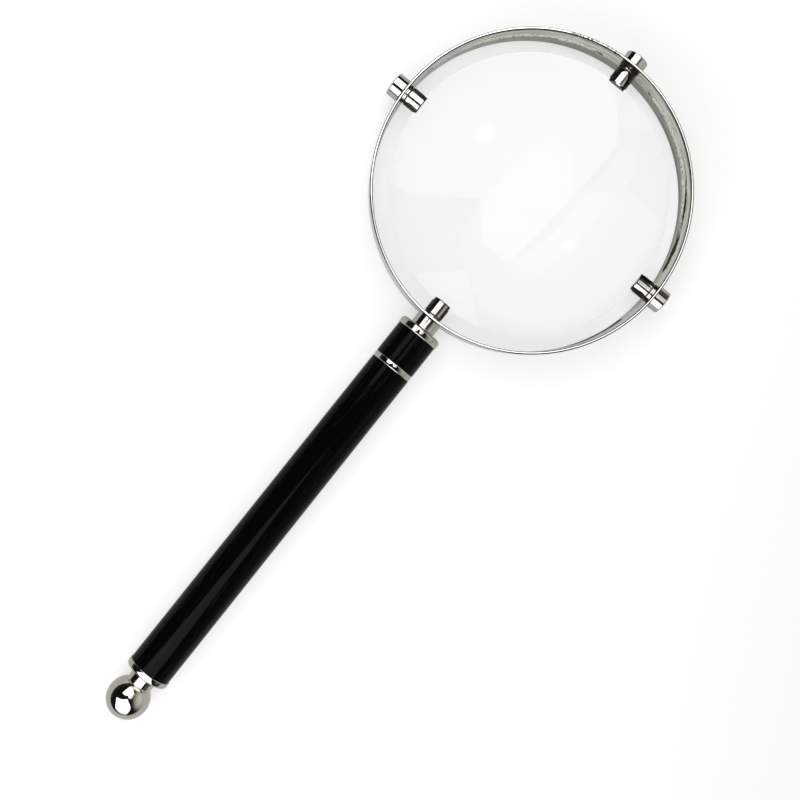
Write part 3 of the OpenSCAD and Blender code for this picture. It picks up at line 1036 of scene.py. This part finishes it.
class MAGNIFIER_OT_head_washers(bpy.types.Operator):
    """Adds the dark washers under the screw heads"""

    bl_idname = "magnifier.head_washers"
    bl_label = "Head Washers"

    def execute(self, context):
        sizes = context.scene.magnifier_sizes
        bore, ease = sizes.screw_shank / 2 + SLIP, 0.09 * MM
        for clip in SCREWED:
            node, angle = f"head_washer_{clip}", CLIPS[clip]
            start, end = reach(node, angle)
            radius = thickness(node) / 2
            outline = ring_outline(bore, radius, radius, start, end, (0, ease, ease, 0))
            patches = [patch(outward(revolve(outline, full_turn(96)), angle), True, True)]
            name, body = f"washer_piece_{clip}", f"washer_{clip}"
            make_piece(name, patches, ["nylon_dark"], [node], body=body)
        return {"FINISHED"}


def turned(
    name, outline, node, material="nickel_on_fittings", sides=144,
    bored=True,
):
    """A turned piece on the handle's axis. Its outline is (across, distance from the lens
    axis), and goes all the way round a bored piece."""
    grid = revolve(outline, full_turn(sides))
    patches = [patch(outward(grid, HANDLE), wrap_rows=bored, wrap_columns=True)]
    make_piece(name, patches, [material], [node])


class MAGNIFIER_OT_neck_ferrule(bpy.types.Operator):
    """Adds the neck and flange that join band and handle"""

    bl_idname = "magnifier.neck_ferrule"
    bl_label = "Neck Ferrule"

    def execute(self, context):
        sizes = context.scene.magnifier_sizes
        front, back = reach("neck_ferrule", HANDLE)
        sleeve = reach("front_sleeve", HANDLE)[0]
        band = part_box("band_ring")[1].x
        flange_front = band + sizes.neck_length
        neck, bore = sizes.neck / 2, sizes.rod_hole / 2
        collar, spigot = thickness("neck_ferrule") / 2, sizes.spigot / 2
        small = sizes.small_round
        outline = eased([
            (bore, front, 0), (neck, front, 0), (neck, (front + flange_front) / 2, 0),
            (neck, flange_front, 3 * small), (collar, flange_front, sizes.flange_round),
            (collar, sleeve, sizes.edge_round), (spigot, sleeve, 0), (spigot, back, small),
            (bore, back, 0),
        ], steps=8)
        grid = revolve(outline, full_turn(144))
        # The front end is hollow too, at no less than this from the lens axis
        saddle = np.sqrt((band + SLIP) ** 2 - grid[..., 1] ** 2)
        grid[..., 2] = np.maximum(grid[..., 2], saddle)
        patches = [patch(outward(grid, HANDLE), True, True)]
        make_piece("neck_and_flange", patches, ["nickel_on_fittings"], ["neck_ferrule"])
        return {"FINISHED"}


class MAGNIFIER_OT_tubes(bpy.types.Operator):
    """Adds the two lacquered tubes of the handle"""

    bl_idname = "magnifier.tubes"
    bl_label = "Lacquered Tubes"

    def execute(self, context):
        sizes = context.scene.magnifier_sizes
        front, bore, ease = thickness("front_sleeve") / 2, sizes.tube_bore / 2, 0.15 * MM
        for node in ("front_sleeve", "grip_tube"):
            start, end = reach(node, HANDLE)
            back = thickness(node) / 2
            outline = ring_outline(bore, front, back, start, end, (ease, ease, ease, ease))
            name = f"{node}_lacquered"
            turned(name, outline, node, "black_lacquer_gloss", sides=192)
        return {"FINISHED"}


class MAGNIFIER_OT_trim_ring(bpy.types.Operator):
    """Adds the bright ring between the two tubes"""

    bl_idname = "magnifier.trim_ring"
    bl_label = "Trim Ring"

    def execute(self, context):
        sizes = context.scene.magnifier_sizes
        start, end = reach("trim_ring", HANDLE)
        radius, bore, ease = thickness("trim_ring") / 2, sizes.tube_bore / 2, sizes.edge_round
        outline = ring_outline(bore, radius, radius, start, end, (0, ease, ease, 0))
        turned("trim_band", outline, "trim_ring")
        return {"FINISHED"}


class MAGNIFIER_OT_end_cap(bpy.types.Operator):
    """Adds the cap at the end of the handle"""

    bl_idname = "magnifier.end_cap"
    bl_label = "End Cap"

    def execute(self, context):
        sizes = context.scene.magnifier_sizes
        start, end = reach("end_cap", HANDLE)
        radius, bore, spigot = thickness("end_cap") / 2, sizes.rod_hole / 2, sizes.spigot / 2
        face, small = end - sizes.cap, sizes.small_round
        outline = eased([
            (bore, start, 0), (spigot, start, small), (spigot, face, 0), (radius, face, small),
            (radius, end, sizes.cap_round), (bore, end, 0),
        ], steps=8)
        turned("cap", outline, "end_cap")
        return {"FINISHED"}


class MAGNIFIER_OT_ball_finial(bpy.types.Operator):
    """Adds the ball with its short neck"""

    bl_idname = "magnifier.ball_finial"
    bl_label = "Ball Finial"

    def execute(self, context):
        sizes = context.scene.magnifier_sizes
        start, end = reach("ball_finial", HANDLE)
        ball, neck = thickness("ball_finial") / 2, sizes.finial_neck / 2
        outline = finial_outline(start, end - ball, ball, neck, sizes.rod_hole / 2)
        turned("finial", outline, "ball_finial", bored=False)
        return {"FINISHED"}


def finial_outline(start, middle, ball, neck, bore):
    """Bore, neck, a small fillet and a ball. The fillet touches neck and ball: its middle
    lies at neck + fillet across, and at ball + fillet from the ball's middle."""
    fillet, chamfer = 0.35 * MM, 0.1 * MM
    fillet_across = neck + fillet
    fillet_along = middle - math.sqrt((ball + fillet) ** 2 - fillet_across ** 2)
    touch = math.degrees(math.atan2(fillet_along - middle, fillet_across))
    bore_end = middle - BORE_WEB
    return np.vstack([
        [(0, bore_end), (bore, bore_end), (bore, start)],
        [(neck - chamfer, start), (neck, start + chamfer)],
        arc((fillet_across, fillet_along), fillet, 180, 180 + touch, 6),
        arc((0, middle), ball, touch, 90, 72)[1:],
    ])


class MAGNIFIER_OT_inner_parts(bpy.types.Operator):
    """Finishes the liners, joiner plug and tie rod, which keep their own shape"""

    bl_idname = "magnifier.inner_parts"
    bl_label = "Inner Parts"

    def execute(self, context):
        for clip in CLIPS:
            refinish(f"slot_liner_{clip}", "fibre_dark")
        refinish("joiner_plug", "brass_turned")
        refinish("tie_rod", "steel_turned")
        return {"FINISHED"}


# ---- Stage ----

# Corners of the two soft boxes, and where the lamp stands behind each cloth
TIP_SOFTBOX = (
    (-0.18, -0.08, 0.48), (-0.06, 0.01, 0.505), (0.008, -0.065, 0.51), (0.082, -0.062, 0.51),
    (0.104, 0.29, 0.435), (0.0, 0.39, 0.38), (-0.12, 0.48, 0.26), (-0.30, 0.42, 0.23),
    (-0.31, 0.20, 0.33), (-0.33, -0.085, 0.40),
)
TIP_LAMP = (-0.13, 0.12, 0.455)
HANDLE_SOFTBOX = (
    (0.02, -0.133, 0.51), (0.10, -0.20, 0.49), (0.28, -0.312, 0.42), (0.33, -0.43, 0.30),
    (0.265, -0.63, 0.06), (0.115, -0.69, 0.07), (-0.09, -0.68, 0.13), (-0.255, -0.57, 0.30),
    (-0.40, -0.40, 0.35), (-0.16, -0.29, 0.45),
)
HANDLE_LAMP = (0.0, -0.42, 0.38)
# Corners of a dimmer white card beside the first box, with its lamp at its first corner,
# and its share of the soft boxes' brightness
WHITE_CARD = (
    (0.118, 0.05, 0.50), (0.088, -0.062, 0.508), (0.15, -0.05, 0.49), (0.17, 0.28, 0.42),
    (0.112, 0.29, 0.433),
)
CARD_SHARE = 0.4
FLOOR_RADIUS = 4.0
FLOOR_GAP = 0.02 * MM


def soft_box(name, corners, lamp, strength):
    """A many-cornered soft box: faces from each of its sides to the place of its lamp,
    where it is brightest. The camera doesn't see it, but polished metal and glass do."""
    middle = len(corners)
    mesh = bpy.data.meshes.new(name)
    mesh.from_pydata([*corners, lamp], [], [(i, (i + 1) % middle, middle) for i in range(middle)])
    nodes = start_material(name)
    away = nodes.length(nodes.coordinates(centre=lamp))
    glow = nodes.ramp(away, 0.0, 0.5, 1.2 * strength, 0.85 * strength)
    hot_spot = nodes.ramp(away, 0.004, 0.03, 1.6 * strength, 0.0)
    nodes.surface(nodes.add("ShaderNodeEmission", {"Strength": nodes.plus(glow, hot_spot)}))
    mesh.materials.append(bpy.data.materials[name])
    box = bpy.data.objects.new(name, mesh)
    bpy.context.scene.collection.objects.link(box)
    box.visible_camera = False


def seen_rays(nodes):
    """The kinds of ray, and 1 for those of the camera, straight or through glass."""
    rays = nodes.add("ShaderNodeLightPath").outputs
    return rays, nodes.largest(rays["Is Camera Ray"], rays["Is Transmission Ray"])


def floor_material():
    """A pale matt floor that the camera, glass and metal see as white, less its shadows.
    Each kind of ray sees a share of plain white over the matt floor."""
    nodes = start_material("studio_floor")
    rays, seen = seen_rays(nodes)
    through = rays["Is Transmission Ray"]
    colour_seen = nodes.mix(seen, (0.61, 0.61, 0.60, 1), (0.95, 0.95, 0.945, 1))
    matt = nodes.add("ShaderNodeBsdfDiffuse", {"Color": colour_seen})
    strength = nodes.ramp(through, 0, 1, 1.29, 0.965)
    white = nodes.add("ShaderNodeEmission", {"Color": (1, 1, 1, 1), "Strength": strength})
    to_camera = nodes.times(seen, nodes.ramp(through, 0, 1, 0.45, 0.85))
    share = nodes.largest(to_camera, nodes.times(rays["Is Glossy Ray"], 0.22))
    both = nodes.add("ShaderNodeMixShader", {0: share, 1: matt.outputs[0], 2: white.outputs[0]})
    nodes.surface(both)
    return bpy.data.materials["studio_floor"]


def studio_world(room):
    """White where the camera or glass looks at it, and a dim room to everything else,
    a little brighter towards the horizon and on the side of a pale wall."""
    world = bpy.data.worlds.new("studio")
    nodes = emptied(world)
    direction = nodes.add("ShaderNodeTexCoord").outputs["Generated"]
    low_down = nodes.ramp(nodes.parts(direction)["Z"], 0.0, 0.35, 1.0, 0.0)
    towards = nodes.add(
        "ShaderNodeVectorMath", {0: direction, 1: (0.85, 0.5, 0.15)}, operation="DOT_PRODUCT"
    )
    wall = nodes.ramp(towards.outputs["Value"], 0.55, 1.0, 0.0, 0.6)
    level = nodes.plus(nodes.plus(nodes.times(low_down, 0.03), wall), room)
    dim = nodes.add("ShaderNodeBackground", {"Color": (1.0, 0.985, 0.95, 1), "Strength": level})
    white = nodes.add("ShaderNodeBackground", {"Color": (1, 1, 1, 1), "Strength": 1.0})
    seen = seen_rays(nodes)[1]
    both = nodes.add("ShaderNodeMixShader", {0: seen, 1: dim.outputs[0], 2: white.outputs[0]})
    nodes.surface(both, "ShaderNodeOutputWorld")
    return world


class MAGNIFIER_OT_stage(bpy.types.Operator):
    """Adds the floor, the two soft boxes, the white card, the room and the camera"""

    bl_idname = "magnifier.stage"
    bl_label = "Stage"

    def execute(self, context):
        scene = context.scene
        settings = scene.magnifier_stage
        turns = full_turn(64)
        rim = FLOOR_RADIUS * np.column_stack([np.cos(turns), np.sin(turns), 0 * turns])
        mesh = bpy.data.meshes.new("floor")
        mesh.from_pydata(rim, [], [range(len(rim))])
        mesh.materials.append(floor_material())
        floor = bpy.data.objects.new("floor", mesh)
        floor.location = (0, 0, -FLOOR_GAP)
        scene.collection.objects.link(floor)
        strength = settings.softbox_strength
        soft_box("softbox_tip", TIP_SOFTBOX, TIP_LAMP, strength)
        soft_box("softbox_handle", HANDLE_SOFTBOX, HANDLE_LAMP, strength)
        soft_box("white_card", WHITE_CARD, WHITE_CARD[0], CARD_SHARE * strength)
        scene.world = studio_world(settings.room)
        camera_data = bpy.data.cameras.new("camera")
        camera_data.sensor_width = 36
        camera_data.lens = settings.focal_length
        camera_data.clip_start = 0.01
        camera = bpy.data.objects.new("camera", camera_data)
        scene.collection.objects.link(camera)
        scene.camera = camera
        place, aim = Vector(settings.camera_place), Vector(settings.camera_aim)
        back = (place - aim).normalized()
        level = Vector((0, 1, 0))
        upward = (level - back * level.dot(back)).normalized()
        upward.rotate(Matrix.Rotation(settings.camera_roll, 3, back))
        right = upward.cross(back)
        turn = Matrix((right, upward, back)).transposed()
        camera.matrix_world = Matrix.Translation(place) @ turn.to_4x4()
        scene.view_settings.view_transform = "Standard"
        return {"FINISHED"}


class MAGNIFIER_PT_panel(bpy.types.Panel):
    """Lists the magnifier's sizes, colours and pieces"""

    bl_idname = "MAGNIFIER_PT_panel"
    bl_label = "Hand Magnifier"
    bl_space_type = "VIEW_3D"
    bl_region_type = "UI"
    bl_category = "Magnifier"

    def draw(self, context):
        for operator in OPERATORS:
            self.layout.operator(operator.bl_idname)
        for settings in GROUPS:
            box = self.layout.box()
            group = getattr(context.scene, settings)
            for name in group.__annotations__:
                box.prop(group, name)


GROUPS = {
    "magnifier_sizes": MagnifierSizes,
    "magnifier_colours": MagnifierColours,
    "magnifier_stage": MagnifierStage,
}
OPERATORS = (
    MAGNIFIER_OT_band,
    MAGNIFIER_OT_lens,
    MAGNIFIER_OT_clip_posts,
    MAGNIFIER_OT_saddles,
    MAGNIFIER_OT_clip_screws,
    MAGNIFIER_OT_head_washers,
    MAGNIFIER_OT_neck_ferrule,
    MAGNIFIER_OT_tubes,
    MAGNIFIER_OT_trim_ring,
    MAGNIFIER_OT_end_cap,
    MAGNIFIER_OT_ball_finial,
    MAGNIFIER_OT_inner_parts,
    MAGNIFIER_OT_stage,
)


def register():
    for each in (*GROUPS.values(), *OPERATORS, MAGNIFIER_PT_panel):
        bpy.utils.register_class(each)
    for name, group in GROUPS.items():
        setattr(bpy.types.Scene, name, bpy.props.PointerProperty(type=group))


def unregister():
    for name in GROUPS:
        delattr(bpy.types.Scene, name)
    for each in reversed((*GROUPS.values(), *OPERATORS, MAGNIFIER_PT_panel)):
        bpy.utils.unregister_class(each)


def main():
    """Builds the whole object in order."""
    register()
    for operator in OPERATORS:
        family, name = operator.bl_idname.split(".")
        getattr(getattr(bpy.ops, family), name)()


if __name__ == "__main__":
    main()
